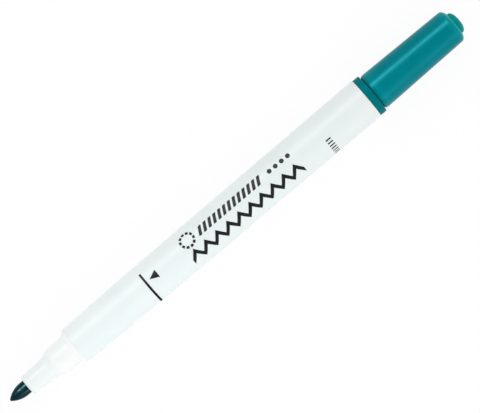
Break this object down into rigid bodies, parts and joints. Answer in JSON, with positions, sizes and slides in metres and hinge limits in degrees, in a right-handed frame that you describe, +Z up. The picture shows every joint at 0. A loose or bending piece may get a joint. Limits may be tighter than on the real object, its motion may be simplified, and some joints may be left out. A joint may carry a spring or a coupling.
{
  "type": "fabric marker pen",
  "caption": "Round fabric marker pen with a dark bullet fibre nib, stepped white nib holder, white barrel and a teal vented cap posted on its teal rear plug.",
  "frame": {"origin": "on the surface the pen lies on, under the middle of its length and under its axis", "axes": "+X along the pen from the nib to the closed end of the cap, +Z up through the printed side, +Y to the left of +X"},
  "size_m": [0.1412, 0.011, 0.011],
  "materials": {
    "white_moulding": "satin",
    "milky_moulding": "satin",
    "teal_moulding": "satin",
    "wet_fibre": "matte",
    "inked_fibre": "matte",
    "clear_film": "gloss"
  },
  "bodies": {
    "pen": {"barrel": "milky_moulding", "nib_holder": "white_moulding", "fibre_nib": "wet_fibre", "ink_reservoir_core": "inked_fibre", "ink_reservoir_wrap": "clear_film", "end_plug": "teal_moulding"},
    "cap": {"cap_shell": "teal_moulding", "cap_inner_seal": "teal_moulding"}
  },
  "joints": [
    {"name": "cap_pull", "type": "slide", "parent": "pen", "child": "cap", "axis": [1, 0, 0], "range_m": [0, 0.02]}
  ]
}
